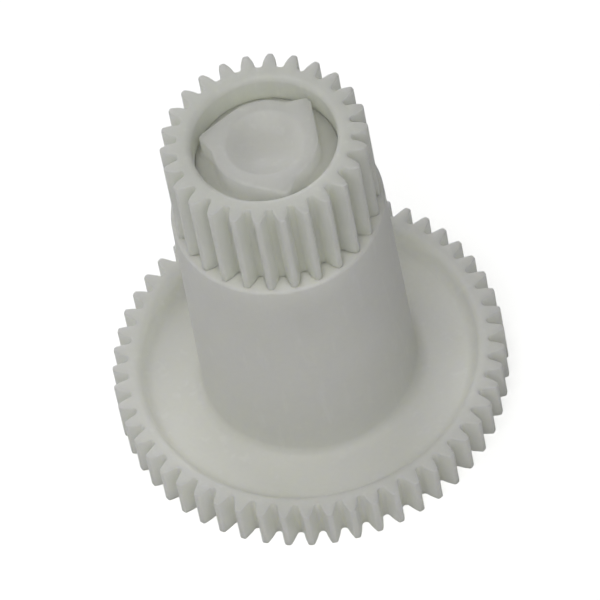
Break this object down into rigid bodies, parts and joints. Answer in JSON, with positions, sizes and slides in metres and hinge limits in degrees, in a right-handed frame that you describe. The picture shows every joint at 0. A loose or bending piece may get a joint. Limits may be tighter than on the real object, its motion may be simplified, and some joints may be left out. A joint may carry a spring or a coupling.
{
  "type": "compound spur gear",
  "caption": "Moulded drive gear with a large spur wheel, a tall barrel and a pinion, and a spring-loaded three-claw coupling sliding in the pinion's pocket.",
  "frame": {"origin": "centre of the wheel's lower face, on the gear's axis", "axes": "+Z along the gear's axis, from the wheel towards the pinion; +Y through the middle of one wheel tooth"},
  "size_m": [0.044, 0.044, 0.0467],
  "materials": {
    "gear_acetal": "natural off-white acetal, satin as moulded, slightly translucent",
    "pinion_acetal": "natural off-white acetal, satin as moulded, slightly translucent",
    "coupling_acetal": "natural off-white acetal, satin as moulded, slightly translucent",
    "spring_steel": "drawn bright spring wire",
    "washer_steel": "stamped and tumbled steel",
    "bush_bronze": "oil-soaked sintered bronze, dull and finely porous"
  },
  "bodies": {
    "gear": {"main_gear": "gear_acetal", "pinion_gear": "pinion_acetal", "lower_bush": "bush_bronze", "upper_bush": "bush_bronze", "spring_seat": "washer_steel", "coupling_spring": "spring_steel"},
    "coupling": {"drive_coupling": "coupling_acetal", "stem_washer": "washer_steel", "stem_clip": "washer_steel"}
  },
  "joints": [
    {"name": "coupling_slide", "type": "slide", "parent": "gear", "child": "coupling", "axis": [0, 0, 1], "range_m": [-0.003, 0], "stiffness_N_per_m": 300, "springref_m": 0.003, "deforming": ["coupling_spring"]}
  ]
}
